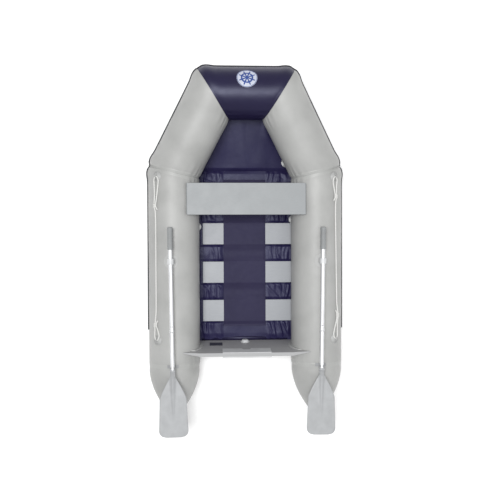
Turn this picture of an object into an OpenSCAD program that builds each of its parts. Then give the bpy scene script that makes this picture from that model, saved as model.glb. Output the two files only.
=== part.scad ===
// Inflatable dinghy with a plywood transom, a slatted fabric floor, a plank seat and two oars.
// Millimetres, +Z up, +Y towards the bow, +X to starboard.
// The origin is under the middle of the outline, on the ground that the tubes stand on.

/* [Air tubes] */
// Diameter of every air tube
tube_d = 350; // [290:10:420]
// Thickness of the coated fabric
skin = 1.2; // [0.8:0.1:2]
// Clear width between the side tubes
cockpit_w = 640; // [600:8:768]
// Length of the side tubes from the transom foot to the bow bend
side_l = 1195; // [1150:5:1500]
// Length along the boat of the angled bow tubes
bow_run = 515; // [400:5:640]
// Width of the nose tube between its corners, on its axis
nose_w = 437; // [360:1:520]
// Height that the nose rises above the side tubes
bow_rise = 130; // [60:5:200]

/* [Tails] */
// Length of the side tubes behind the transom foot, up to the cones
tail_straight = 145; // [100:5:220]
// Length of each tail cone
cone_l = 345; // [250:5:450]
// Diameter of the moulded cap at the end of each cone
tail_cap_d = 68; // [50:2:90]

/* [Rub strake] */
// How far the strake stands out from the tube
strake_t = 8; // [4:1:14]
// Height of the strake
strake_h = 30; // [20:2:50]
// Distance from the transom foot to the after end of the strake
strake_start = 105; // [60:5:200]

/* [Floor] */
// Height of the floor fabric above the ground
floor_z = 20; // [12:1:30]
// Clearance between the slats' starboard ends and the tube that they reach under
slat_clear = 12; // [4:1:40]
// How far the slats' port ends stop short of the other tube
slat_short = 22; // [10:1:60]
// Width of a floor slat
slat_w = 152; // [100:2:200]
// Thickness of a floor slat
slat_t = 18; // [9:1:20]
// Distance between the middles of neighbouring slats
slat_pitch = 275; // [210:5:300]
// Distance from the transom foot to the middle of the aftmost slat
slat_first = 216; // [180:2:230]
// Width of the fabric sleeve over the middle of the slats
sleeve_w = 300; // [200:10:400]

/* [Transom] */
// Thickness of the transom board
board_t = 25; // [18:1:35]
// Height of the transom board, measured up its face
board_h = 345; // [330:1:380]
// Angle that the transom leans aft
rake = 6; // [0:1:12]
// How far inboard of the tubes' axes the transom's wing tips end
wing_in = 65; // [55:1:80]
// Width of the two motor pads
pad_w = 330; // [200:10:400]
// Diameter of the drain fitting's flange
drain_d = 65; // [50:1:75]

/* [Seat] */
// How far each end of the seat plank reaches over its side tube
seat_lap = 82.5; // [60:0.5:100]
// Width of the seat plank
seat_w = 214; // [160:2:260]
// Thickness of the seat plank
seat_t = 20; // [12:1:28]
// Distance from the transom foot to the middle of the seat
seat_y = 998; // [930:2:1030]

/* [Oars] */
// Diameter of the aluminium shaft
shaft_d = 28; // [23:0.1:34]
// Height of the shaft's axis above the tubes
shaft_h = 52; // [50:1:60]
// Distance from the rowlock to the end of the grip
grip_reach = 228; // [200:2:300]
// Length of the blade, without its socket
blade_l = 400; // [330:5:480]
// Length of the blade's socket on the shaft
socket_l = 48; // [30:1:70]
// Width of the blade near its tip
blade_w = 195; // [150:5:235]
// Distance from the rowlock to the joint of the two-piece shaft
joint_reach = 470; // [400:5:540]
// Clearance between the oar clip and the blade's socket
clip_clear = 5; // [3:1:30]
// Distance from the transom foot to the rowlock
rowlock_y = 580; // [540:5:640]
// How far the rowlock sits outboard of the tube's axis
rowlock_out = 12; // [0:1:20]
// Angle that each stowed oar turns inboard towards its blade
oar_toe = 0.8; // [0:0.1:1.5]

/* [Lifelines] */
// Diameter of the lifeline
rope_d = 9; // [7:1:10]
// Angle from the top of the tube, outboard, at which the lifelines run
rope_angle = 37; // [30:1:45]

/* [Hidden] */
$fn = 64;

LIGHT_GREY = "#c2c4c4";
MID_GREY = "#8e9092";
DARK_GREY = "#55585c";
NAVY = "#35335a";
WHITE = "#f0f0ee";

gap = 0.3;              // clearance between pieces that only lie on each other
fit = 0.05;             // radial clearance of a pin, stem or plug in its hole
big = 4000;             // larger than the whole boat
overrun = 400;          // how far a tube is drawn past a mitre before it is cut there

tube_r = tube_d / 2;
side_x = cockpit_w / 2 + tube_r;
cone_tip_r = tail_cap_d / 2 - 4;
tail_end = tail_straight + cone_l;
tail_cap_t = 6;

// Half the width of a tube at a height above the ground
function half_chord(z) = sqrt(pow(tube_r, 2) - pow(tube_r - z, 2));

// A tube's own directions: outboard, along it and up; each bend reflects the last tube in its mitre
function unit(v) = v / norm(v);
function mitre(d1, d2) = unit(d1 + d2);
function reflected(e, n) = e - 2 * (e * n) * n;
bend_at = [side_x, side_l, tube_r];
corner_at = [nose_w / 2, side_l + bow_run, tube_r + bow_rise];
along_side = [0, 1, 0];
along_bow = unit(corner_at - bend_at);
along_nose = [-1, 0, 0];
bend_n = mitre(along_side, along_bow);
corner_n = mitre(along_bow, along_nose);
out_side = [1, 0, 0];
out_bow = reflected(out_side, bend_n);
out_nose = reflected(out_bow, corner_n);
SIDE = [[side_x, 0, tube_r], along_side, out_side];
BOW = [bend_at, along_bow, out_bow];
NOSE = [corner_at, along_nose, out_nose];

// Transom and floor
floor_top = floor_z + skin;
slat_z = floor_top + gap;
sleeve_z = slat_z + slat_t + gap;
slat_starboard = side_x - half_chord(slat_z + slat_t) - slat_clear;
slat_port = side_x - tube_r - slat_short;
foot_z = floor_top + 0.8;
wing_x = side_x - wing_in;
holder_t = 4;           // rubber of the transom holders between tube and board
holder_lip = 6;         // rubber on each face of the board
holder_reach = 20;      // how far the lips reach from the tube
drain_z = 48;           // height of the drain up the transom
drain_bore_r = 11;
drain_barrel_r = 15;
outer_pad_t = 8;
outer_pad_h = 190;
inner_pad_t = 4;
inner_pad_h = 105;
notch_w = 70;           // the inner pad's notch, at its foot
notch_h = 28;
plate_w = 90;           // blank plate on the inner face
plate_h = 80;
plate_x = -252;
plate_up = 70;
bow_slope = atan(bow_rise / bow_run);
floor_chord = half_chord(floor_top) + gap;
floor_fold = (tube_r - floor_top) * tan(bow_slope / 2);
floor_corner = 2;       // how much the floor narrows where the bow tubes begin

// Seat
seat_end_clear = 5;     // height of the plank's end above the tube
seat_l = cockpit_w + 2 * seat_lap;
seat_z = tube_r + sqrt(tube_r * tube_r - pow(side_x - seat_l / 2, 2)) + seat_end_clear;
seat_holder_l = 66;
seat_holder_w = 130;

// Valves
valve_flange_r = 29;
valve_barrel_r = 18;
valve_bore_r = 13;
valve_stem_r = 4;
valve_deep = 21;        // length of the barrel inside the tube
valve_angle = -105;     // from the top of the tube, inboard is negative
port_valve_y = 815;
starboard_valve_y = 865;
bow_valve_y = 150;

// Tow ring
tow_angle = 128;        // from the top of the nose tube, forward
tow_bar_z = 9;          // height of the ring's bar above the tube's skin
tow_bar_r = 3;
tow_ring_r = 24;

// Oars
shaft_r = shaft_d / 2;
shaft_wall = 1.4;
spigot_r = shaft_r - shaft_wall - 0.1;
spigot_l = 80;
grip_l = 150;
grip_r = shaft_r + 5;
socket_r = shaft_r + 3.5;
blade_t = 5;
collar_r = shaft_r + 9;
collar_l = 36;
shaft_z = tube_d + shaft_h;
hinge_z = tube_d + 16;
hinge_pin_r = 3;
swivel_r = 7.5;
swivel_l = 18;
stem_r = 5;
stem_top = shaft_z - shaft_r - 2.4;
ear_t = 7;
patch_t = 2.5;
button_r = 3.5;
clip_l = 14;
clip_wall = 3.2;
clip_foot_l = 22;
clip_foot_w = 74;
clip_at_end = 20;       // from the clip's middle to the cone behind it
clip_reach = rowlock_y + tail_straight - clip_at_end;
blade_start = clip_reach + clip_l / 2 + clip_clear + socket_l;
blade_reach = blade_start + blade_l;

// Lifelines: distance forward of the transom foot, distance outboard, height above the tube
eye_fore = 1150;
eye_aft = 48;
eye_lift = 10;
rope_r = rope_d / 2;
PORT_KNOTS = [[953, 8, 12], [153, 8, 12]];
STARBOARD_KNOTS = [[1014, 3, 12], [208, 17, 12]];
PORT_ROUTE = [
    [925, -8, 6], [953, 2, 12], [990, -2, 9], [1040, -8, 7], [1090, -15, 7], [1118, -18, 8],
    [1136, -14, 9.5], [1146, -7, 10], [1149, 0, 10], [1146, 7, 10], [1136, 14, 9.5], [1118, 18, 8],
    [1090, 17, 7], [1040, 14, 7], [990, 14, 9], [953, 13, 12], [915, 9, 7], [860, 8, 5],
    [760, 7, 5], [650, 7, 5], [540, 7, 5], [430, 7, 5], [320, 7, 5], [240, 8, 5], [190, 10, 8],
    [153, 13, 12], [120, 15, 9], [84, 18, 8], [62, 14, 9.5], [52, 7, 10], [49, 0, 10], [52, -7, 10],
    [62, -14, 9.5], [84, -18, 8], [120, -8, 9], [153, 2, 12], [182, -6, 6]
];
STARBOARD_ROUTE = [
    [985, -12, 6], [1014, -3, 12], [1045, -6, 9], [1080, -12, 7], [1105, -17, 7], [1122, -18, 8],
    [1137, -14, 9.5], [1146, -7, 10], [1149, 0, 10], [1146, 7, 10], [1137, 14, 9.5], [1122, 18, 8],
    [1105, 17, 7], [1080, 14, 7], [1045, 10, 9], [1014, 8, 12], [975, 5, 7], [920, 5, 5],
    [820, 6, 5], [710, 8, 5], [600, 10, 5], [490, 12, 5], [380, 14, 5], [300, 16, 5], [250, 19, 8],
    [208, 22, 12], [165, 20, 9], [120, 19, 7], [84, 18, 8], [62, 14, 9.5], [52, 7, 10], [49, 0, 10],
    [52, -7, 10], [62, -14, 9.5], [84, -16, 8], [120, -6, 7], [165, 7, 9], [208, 11, 12], [240, 5, 6]
];

// The outline runs from the nose's strake to the blade tips
front_y = side_l + bow_run + tube_r + strake_t;
back_y = rowlock_y - blade_reach;
middle_y = (front_y + back_y) / 2;

// ---------- Places and cutters ----------

module in_place() {
    translate([0, -middle_y, 0]) children();
}

module tube_frame(tube) {
    p = tube[0];
    d = tube[1];
    e = tube[2];
    u = cross(e, d);
    multmatrix([[e.x, d.x, u.x, p.x], [e.y, d.y, u.y, p.y], [e.z, d.z, u.z, p.z], [0, 0, 0, 1]])
        children();
}

// A place on a tube's skin, with +Z out of the skin and +Y along the tube
module on_tube(tube, along, angle) {
    tube_frame(tube) translate([0, along, 0]) rotate([0, angle, 0]) translate([0, 0, tube_r])
        children();
}

module cylinder_y(r, y0, y1) {
    translate([0, y1, 0]) rotate([90, 0, 0]) cylinder(r = r, h = y1 - y0);
}

// Everything on the side of the plane through p that n points to
module half_space(p, n) {
    translate(p) rotate([0, acos(n.z), atan2(n.y, n.x)]) translate([-big, -big, 0])
        cube([2 * big, 2 * big, big]);
}

// What a tube loses at its mitres, each set back by the same distance
module cut_side(back = 0) {
    half_space(bend_at - back * bend_n, bend_n);
}

module cut_bow(back = 0) {
    half_space(bend_at + back * bend_n, -bend_n);
    half_space(corner_at - back * corner_n, corner_n);
}

module cut_nose(back = 0) {
    half_space(corner_at + back * corner_n, -corner_n);
    mirror([1, 0, 0]) half_space(corner_at + back * corner_n, -corner_n);
}

module port() {
    mirror([1, 0, 0]) children();
}

module both_sides() {
    children();
    port() children();
}

// A patch of even thickness on a tube's skin, as wide as the cutter given as its child
module patch_on(tube, t) {
    intersection() {
        tube_frame(tube) difference() {
            cylinder_y(tube_r + t, -overrun, side_l + overrun);
            cylinder_y(tube_r, -overrun - 1, side_l + overrun + 1);
        }
        children();
    }
}

// ---------- Hull ----------

module valve_hole(tube, along) {
    on_tube(tube, along, valve_angle) translate([0, 0, -30]) cylinder(r = valve_barrel_r, h = 60);
}

// A long pipe along a tube's axis, to be cut at its ends
module pipe(tube, r, bore, start) {
    end = side_l + overrun;
    tube_frame(tube) difference() {
        cylinder_y(r, start, end);
        cylinder_y(bore, start - 1, end + 1);
    }
}

module side_tube(valve_y) {
    color(LIGHT_GREY) difference() {
        pipe(SIDE, tube_r, tube_r - skin, -tail_straight);
        cut_side();
        valve_hole(SIDE, valve_y);
    }
}

module port_bow_tube() {
    color(LIGHT_GREY) port() difference() {
        pipe(BOW, tube_r, tube_r - skin, -overrun);
        cut_bow();
    }
}

module starboard_bow_tube() {
    color(LIGHT_GREY) difference() {
        pipe(BOW, tube_r, tube_r - skin, -overrun);
        cut_bow();
        valve_hole(BOW, bow_valve_y);
    }
}

module nose_tube() {
    color(NAVY) difference() {
        pipe(NOSE, tube_r, tube_r - skin, -overrun);
        cut_nose();
    }
}

// Fabric walls that part the three air chambers, just forward of the bow bends
module air_baffles() {
    color(MID_GREY) both_sides() difference() {
        tube_frame(BOW) cylinder_y(tube_r - skin, -overrun, overrun);
        half_space(bend_at, -bend_n);
        half_space(bend_at + skin * bend_n, bend_n);
    }
}

function cone_r(t, wall) = tube_r - wall - (tube_r - cone_tip_r) * pow(t / cone_l, 2);

module cone_profile(wall) {
    steps = 12;
    polygon(concat(
        [[0, 0]],
        [for (i = [0 : steps]) [cone_r(cone_l * i / steps, wall), cone_l * i / steps]],
        [[0, cone_l]]
    ));
}

module tail_cone() {
    color(LIGHT_GREY) tube_frame(SIDE) translate([0, -tail_straight, 0]) rotate([90, 0, 0])
        difference() {
            rotate_extrude() cone_profile(0);
            rotate_extrude() cone_profile(skin);
        }
}

module tail_end_cap() {
    color(MID_GREY) tube_frame(SIDE) translate([0, -tail_end, 0]) rotate([90, 0, 0]) {
        cylinder(r = tail_cap_d / 2, h = tail_cap_t - 2);
        translate([0, 0, tail_cap_t - 2]) cylinder(r1 = tail_cap_d / 2, r2 = tail_cap_d / 2 - 4, h = 2);
        translate([0, 0, -8]) cylinder(r = cone_tip_r - skin - 0.5, h = 9);
    }
}

// A long strip of strake along a tube, to be cut at its ends
module strake_strip(tube, start) {
    intersection() {
        pipe(tube, tube_r + strake_t, tube_r, start);
        tube_frame(tube) translate([0, start - 1, -strake_h / 2])
            cube([tube_r + 2 * strake_t, big, strake_h]);
    }
}

module rub_strake() {
    color(DARK_GREY) {
        both_sides() {
            difference() {
                strake_strip(SIDE, strake_start);
                cut_side(gap / 2);
            }
            difference() {
                strake_strip(BOW, -overrun);
                cut_bow(gap / 2);
            }
        }
        difference() {
            strake_strip(NOSE, -overrun);
            cut_nose(gap / 2);
        }
    }
}

// ---------- Floor ----------

module floor_fabric() {
    half = side_x - floor_chord;
    color(NAVY) translate([0, 0, floor_z]) linear_extrude(skin) polygon([
        [-half, -board_t], [half, -board_t], [half, side_l - floor_corner],
        [half - floor_corner, side_l + floor_fold], [floor_corner - half, side_l + floor_fold],
        [-half, side_l - floor_corner]
    ]);
}

// The floor in front of the bend rises with the bow tubes, in a plane under their axes
module bow_floor_fabric() {
    run = norm([bow_run, bow_rise]);
    turn = atan((side_x - nose_w / 2) / run);
    inset = floor_chord / cos(turn);
    aft_x = side_x + floor_fold * tan(turn) - inset;
    fore_x = side_x - (run - floor_chord) * tan(turn) - inset;
    color(NAVY) translate([0, side_l, tube_r]) rotate([bow_slope, 0, 0])
        translate([0, 0, floor_z - tube_r]) linear_extrude(skin) polygon([
            [-aft_x, -floor_fold], [aft_x, -floor_fold],
            [fore_x, run - floor_chord], [-fore_x, run - floor_chord]
        ]);
}

module floor_slat(n) {
    y = slat_first + (n - 1) * slat_pitch;
    color(LIGHT_GREY) translate([-slat_port, y - slat_w / 2, slat_z])
        cube([slat_port + slat_starboard, slat_w, slat_t]);
}

module slat_sleeve() {
    hem = 35;
    start = slat_first - slat_w / 2 - hem;
    length = 3 * slat_pitch + slat_w + 2 * hem;
    color(NAVY) translate([-sleeve_w / 2, start, sleeve_z]) cube([sleeve_w, length, skin]);
}

// ---------- Transom ----------

// +Z up the board, +Y forward out of its inner face, with the foot of that face at the origin
module transom_frame() {
    translate([0, 0, foot_z]) rotate([rake, 0, 0]) children();
}

module transom_slab(front, back) {
    transom_frame() translate([-big / 2, -back, -100]) cube([big, front + back, board_h + 200]);
}

module transom_outline() {
    foot_x = side_x - sqrt(pow(tube_r + holder_t, 2) - pow(tube_r - foot_z, 2)) - 12;
    shoulder_x = wing_x - 122;
    wing_drop = 20;
    polygon([
        [-foot_x, 0], [foot_x, 0], [wing_x, board_h - wing_drop - 60], [wing_x, board_h - wing_drop],
        [shoulder_x, board_h], [-shoulder_x, board_h],
        [-wing_x, board_h - wing_drop], [-wing_x, board_h - wing_drop - 60]
    ]);
}

// The wings thin out towards their tips, on the board's after face
module wing_taper() {
    start_x = wing_x - 120;
    tip_t = 6;
    transom_frame() linear_extrude(board_h + 10)
        polygon([[start_x, -board_t], [wing_x + 1, -tip_t], [wing_x + 1, -2 * board_t],
            [start_x, -2 * board_t]]);
}

module transom_board() {
    color(MID_GREY) difference() {
        transom_frame() rotate([90, 0, 0]) linear_extrude(board_t) transom_outline();
        both_sides() {
            tube_frame(SIDE) cylinder_y(tube_r + holder_t, -overrun, overrun);
            wing_taper();
        }
        drain_axis() cylinder(r = drain_barrel_r, h = 200, center = true);
        half_space([0, 0, floor_top + gap], [0, 0, -1]);
    }
}

module motor_pad_block(height, front, back, notch) {
    transom_frame() rotate([90, 0, 0]) translate([0, 0, -front]) linear_extrude(front - back)
        difference() {
            translate([-pad_w / 2, board_h - height]) square([pad_w, height]);
            if (notch) polygon([
                [-notch_w / 2, board_h - height - 1], [notch_w / 2, board_h - height - 1],
                [notch_w / 2 - 13, board_h - height + notch_h],
                [13 - notch_w / 2, board_h - height + notch_h]
            ]);
        }
}

module inner_motor_pad() {
    color(LIGHT_GREY) motor_pad_block(inner_pad_h, inner_pad_t, 0, true);
}

module outer_motor_pad() {
    color(LIGHT_GREY) motor_pad_block(outer_pad_h, -board_t, -board_t - outer_pad_t, false);
}

// Rubber channels glued to the tubes, which hold the board's two curved edges
module transom_holders() {
    top_z = 130;
    color(LIGHT_GREY) both_sides() difference() {
        intersection() {
            tube_frame(SIDE) cylinder_y(tube_r + holder_reach, -overrun, overrun);
            transom_slab(holder_lip, board_t + holder_lip);
            translate([0, -big / 2, foot_z]) cube([side_x - 120, big, tube_r + top_z - foot_z]);
        }
        tube_frame(SIDE) cylinder_y(tube_r, -overrun, overrun);
        difference() {
            transom_slab(0, board_t);
            tube_frame(SIDE) cylinder_y(tube_r + holder_t, -overrun, overrun);
        }
    }
}

// +Z forward out of the transom, on the drain's axis
module drain_axis() {
    transom_frame() translate([0, 0, drain_z]) rotate([-90, 0, 0]) children();
}

module drain_body() {
    color(WHITE) drain_axis() difference() {
        union() {
            translate([0, 0, -board_t - 4]) cylinder(r = drain_barrel_r, h = board_t + 8);
            cylinder(r = drain_d / 2, h = 5);
            translate([0, 0, -board_t - 4]) cylinder(r = drain_d / 2 - 8, h = 4);
        }
        translate([0, 0, -board_t - 10]) cylinder(r = drain_bore_r, h = board_t + 30);
    }
}

module drain_cap() {
    color(WHITE) drain_axis() {
        translate([0, 0, 5 + gap]) cylinder(r = drain_d / 2 - 9, h = 7);
        translate([0, 0, 12 + gap]) cylinder(r1 = drain_d / 2 - 9, r2 = drain_d / 2 - 12, h = 3);
        translate([0, 0, -14]) cylinder(r = drain_bore_r - fit, h = 20);
    }
}

// Dark tape that seals the floor to the transom
module floor_seam_strip() {
    reach = 26;
    t = 1.5;
    width = 2 * (side_x - tube_r - 12);
    color(NAVY) difference() {
        translate([-width / 2, 0, floor_top]) cube([width, reach + t, t]);
        transom_slab(0, big / 2);
    }
}

module blank_plate() {
    color(DARK_GREY) transom_frame() translate([plate_x, 0, plate_up]) cube([plate_w, 1.5, plate_h]);
}

// ---------- Seat ----------

module seat_board() {
    color(LIGHT_GREY) translate([-seat_l / 2, seat_y - seat_w / 2, seat_z + gap])
        cube([seat_l, seat_w, seat_t]);
}

module seat_holders() {
    color(MID_GREY) both_sides() difference() {
        translate([seat_l / 2 - seat_holder_l, seat_y - seat_holder_w / 2, seat_z - 60])
            cube([seat_holder_l, seat_holder_w, 60]);
        tube_frame(SIDE) cylinder_y(tube_r, 0, side_l);
        translate([0, 0, seat_z - 60]) cube([seat_l / 2 - seat_holder_l + 8, big, 42]);
    }
}

module bow_emblem() {
    emblem_d = 136;
    emblem_angle = 34;
    color(WHITE) patch_on(NOSE, 1) on_tube(NOSE, nose_w / 2, emblem_angle)
        cylinder(r = emblem_d / 2, h = 120, center = true);
}

// ---------- Lifelines ----------

module lifeline_eye(along) {
    lug_t = 8;
    color(LIGHT_GREY) {
        patch_on(SIDE, patch_t) on_tube(SIDE, along, rope_angle)
            cylinder(r = 34, h = 60, center = true);
        on_tube(SIDE, along, rope_angle) difference() {
            union() {
                translate([-lug_t / 2, 0, eye_lift]) rotate([0, 90, 0]) cylinder(r = 10, h = lug_t);
                translate([-lug_t / 2, -10, patch_t / 2]) cube([lug_t, 20, eye_lift - patch_t / 2]);
            }
            translate([-lug_t, 0, eye_lift]) rotate([0, 90, 0]) cylinder(r = rope_r + 1, h = 2 * lug_t);
        }
    }
}

module lifeline_patches() {
    both_sides() {
        lifeline_eye(eye_fore);
        lifeline_eye(eye_aft);
    }
}

// A route point's place in the side tube's frame, and the skin's outward direction there
function skin_angle(p) = rope_angle + p.y / tube_r * 180 / PI;
function skin_out(p) = [sin(skin_angle(p)), 0, cos(skin_angle(p))];
function skin_place(p) = (tube_r + p.z) * skin_out(p) + [0, p.x, 0];

module rope(route) {
    sides = 8;
    last = len(route) - 1;
    place = [for (p = route) skin_place(p)];
    heading = [for (i = [0 : last]) unit(place[min(i + 1, last)] - place[max(i - 1, 0)])];
    across = [for (i = [0 : last]) unit(cross(heading[i], skin_out(route[i])))];
    lift = [for (i = [0 : last]) cross(across[i], heading[i])];
    rings = [
        for (i = [0 : last]) for (k = [0 : sides - 1])
            place[i] + rope_r * (cos(360 * k / sides) * across[i] + sin(360 * k / sides) * lift[i])
    ];
    walls = [
        for (i = [0 : last - 1]) for (k = [0 : sides - 1])
            let (a = i * sides + k, b = i * sides + (k + 1) % sides) [a, a + sides, b + sides, b]
    ];
    start = [for (k = [0 : sides - 1]) k];
    end = [for (k = [sides - 1 : -1 : 0]) last * sides + k];
    color(WHITE) tube_frame(SIDE) polyhedron(points = rings, faces = concat(walls, [start, end]));
}

module knots(places) {
    color(WHITE) tube_frame(SIDE) for (p = places) translate(skin_place(p)) sphere(r = 11);
}

module lifeline_knots() {
    knots(STARBOARD_KNOTS);
    port() knots(PORT_KNOTS);
}

// ---------- Valves ----------

module valve_body(tube, along) {
    color(LIGHT_GREY) difference() {
        on_tube(tube, along, valve_angle) {
            translate([0, 0, -6]) cylinder(r = valve_flange_r, h = 10);
            translate([0, 0, -valve_deep]) cylinder(r = valve_barrel_r, h = valve_deep + 8);
        }
        difference() {
            tube_frame(tube) cylinder_y(tube_r, along - 100, along + 100);
            on_tube(tube, along, valve_angle) translate([0, 0, -30]) cylinder(r = valve_barrel_r, h = 60);
        }
        on_tube(tube, along, valve_angle) {
            translate([0, 0, 3 - valve_deep]) cylinder(r = valve_bore_r, h = 60);
            translate([0, 0, -60]) cylinder(r = valve_stem_r + fit, h = 60);
        }
    }
}

module valve_bodies() {
    port() valve_body(SIDE, port_valve_y);
    valve_body(SIDE, starboard_valve_y);
    valve_body(BOW, bow_valve_y);
}

module valve_cap(tube, along) {
    color(WHITE) on_tube(tube, along, valve_angle) {
        translate([0, 0, 8 + gap]) cylinder(r = valve_barrel_r + 1, h = 5);
        translate([0, 0, -1]) cylinder(r = valve_bore_r - fit, h = 10);
    }
}

module valve_poppet(tube, along) {
    color(DARK_GREY) on_tube(tube, along, valve_angle) {
        translate([0, 0, -9]) cylinder(r = 7, h = 5);
        translate([0, 0, -valve_deep - 1]) cylinder(r = valve_stem_r, h = valve_deep - 6);
        translate([0, 0, -valve_deep - 4]) cylinder(r = 11, h = 3.7);
    }
}

// ---------- Tow ring ----------

module tow_patch() {
    color(LIGHT_GREY) {
        patch_on(NOSE, patch_t) on_tube(NOSE, nose_w / 2, tow_angle)
            cylinder(r = 45, h = 100, center = true);
        on_tube(NOSE, nose_w / 2, tow_angle) difference() {
            union() {
                translate([0, 9, tow_bar_z]) rotate([90, 0, 0]) cylinder(r = 7, h = 18);
                translate([-7, -9, patch_t / 2]) cube([14, 18, tow_bar_z - patch_t / 2]);
            }
            translate([0, 20, tow_bar_z]) rotate([90, 0, 0]) cylinder(r = tow_bar_r + fit, h = 40);
        }
    }
}

// A D-shaped ring that hangs from its bar
module tow_ring() {
    bar = skin_point(tow_angle, tow_bar_z);
    color("silver") translate(bar) {
        rotate([0, 90, 0]) cylinder(r = tow_bar_r, h = 2 * tow_ring_r, center = true);
        rotate([90, 0, 0]) rotate([0, 0, 180]) rotate_extrude(angle = 180)
            translate([tow_ring_r, 0]) circle(r = tow_bar_r);
        for (x = [-tow_ring_r, tow_ring_r]) translate([x, 0, 0]) sphere(r = tow_bar_r);
    }
}

// A point in the middle of the nose, at an angle from the tube's top and a height over its skin
function nose_up() = cross(out_nose, along_nose);
function skin_point(angle, height) =
    [0, corner_at.y, corner_at.z]
    + (tube_r + height) * (sin(angle) * out_nose + cos(angle) * nose_up());

// ---------- Oars and rowlocks ----------

// The rowlock's upright axis, with z still measured from the ground
module rowlock_frame() {
    translate([side_x + rowlock_out, rowlock_y, 0]) children();
}

// +Y along the shaft towards the grip, with the origin over the rowlock
module oar_frame() {
    rowlock_frame() translate([0, 0, shaft_z]) rotate([0, 0, -oar_toe]) children();
}

module rowlock_base() {
    ear_y = swivel_l / 2 + gap;
    color(LIGHT_GREY) {
        patch_on(SIDE, patch_t) rowlock_frame() translate([0, 0, tube_r]) cylinder(r = 48, h = big);
        difference() {
            rowlock_frame() {
                translate([0, 0, tube_d - 15]) cylinder(r = 26, h = 22.5);
                for (s = [-1, 1]) translate([0, s * (ear_y + ear_t / 2), 0]) {
                    translate([-8, -ear_t / 2, tube_d]) cube([16, ear_t, hinge_z - tube_d]);
                    translate([0, 0, hinge_z]) cylinder_y(9, -ear_t / 2, ear_t / 2);
                }
            }
            tube_frame(SIDE) cylinder_y(tube_r + patch_t / 2, 0, side_l);
            rowlock_frame() translate([0, 0, hinge_z]) cylinder_y(hinge_pin_r, -50, 50);
        }
    }
}

module rowlock_hinge_pins() {
    pin_end = swivel_l / 2 + gap + ear_t + 1;
    color("silver") both_sides() rowlock_frame() translate([0, 0, hinge_z])
        cylinder_y(hinge_pin_r, -pin_end, pin_end);
}

module rowlock_swivel() {
    shoulder_z = hinge_z + swivel_r;
    color(MID_GREY) rowlock_frame() difference() {
        union() {
            translate([0, 0, hinge_z]) cylinder_y(swivel_r, -swivel_l / 2, swivel_l / 2);
            translate([0, 0, hinge_z]) cylinder(r = stem_r, h = stem_top - hinge_z);
            translate([0, 0, shoulder_z - 1.5]) cylinder(r = 8, h = 3);
        }
        translate([0, 0, hinge_z]) cylinder_y(hinge_pin_r + fit, -20, 20);
    }
}

module oar_collar() {
    foot = hinge_z + swivel_r + 1.5 + gap - shaft_z;
    color(LIGHT_GREY) oar_frame() difference() {
        union() {
            cylinder_y(collar_r, -collar_l / 2, collar_l / 2);
            translate([0, 0, foot]) cylinder(r = 13, h = -foot);
        }
        cylinder_y(shaft_r, -collar_l, collar_l);
        translate([0, 0, -big]) cylinder(r = stem_r + fit, h = big + stem_top + 0.4 - shaft_z);
    }
}

module oar_upper_shaft() {
    flare_l = 18;
    color("silver") oar_frame() difference() {
        union() {
            cylinder_y(shaft_r, -joint_reach, grip_reach - 4);
            cylinder_y(shaft_r + 2, -joint_reach, flare_l - joint_reach);
        }
        cylinder_y(shaft_r - shaft_wall, -joint_reach - 1, grip_reach);
        translate([0, 40 - joint_reach, 0]) cylinder(r = button_r + fit, h = 40);
    }
}

module oar_lower_shaft() {
    color("silver") oar_frame() difference() {
        union() {
            cylinder_y(shaft_r, -blade_start, -joint_reach);
            cylinder_y(spigot_r, -joint_reach - 10, spigot_l - joint_reach);
        }
        cylinder_y(spigot_r - shaft_wall, -blade_start - 1, spigot_l - joint_reach + 1);
        translate([0, 40 - joint_reach, 0]) cylinder(r = button_r + fit, h = 40);
    }
}

// Sprung button that locks the two shafts together
module oar_button() {
    color(MID_GREY) oar_frame() translate([0, 40 - joint_reach, 4])
        cylinder(r = button_r, h = shaft_r + 2.5 - 4);
}

module oar_grip() {
    color(MID_GREY) oar_frame() difference() {
        union() {
            cylinder_y(grip_r, grip_reach - grip_l, grip_reach - 3);
            cylinder_y(grip_r - 3, grip_reach - grip_l, grip_reach);
        }
        cylinder_y(shaft_r, grip_reach - grip_l - 1, grip_reach - 4);
    }
}

// Half of the blade's outline, from its shoulder to its tip, as distance aft and half width
function blade_half() =
    let (corner = 36, end_w = blade_w / 2, shoulder = 125)
    concat(
        [[0, socket_r]],
        [for (a = [20 : 20 : 80]) [shoulder * a / 90, socket_r + (end_w - 9 - socket_r) * sin(a)]],
        [[shoulder, end_w - 9]],
        [for (a = [0 : 15 : 90]) [blade_l - corner + corner * sin(a), end_w - corner + corner * cos(a)]]
    );

module oar_blade() {
    half = blade_half();
    outline = concat(
        [for (p = half) [p.y, -p.x]],
        [for (i = [len(half) - 1 : -1 : 0]) [-half[i].y, -half[i].x]]
    );
    rib_l = 300;
    color(LIGHT_GREY) oar_frame() difference() {
        translate([0, -blade_start, 0]) {
            translate([0, 0, -blade_t / 2]) linear_extrude(blade_t) polygon(outline);
            cylinder_y(socket_r, -10, socket_l);
            rotate([90, 0, 0]) cylinder(r1 = socket_r, r2 = 5, h = rib_l);
        }
        cylinder_y(shaft_r, -blade_start, 0);
    }
}

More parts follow.
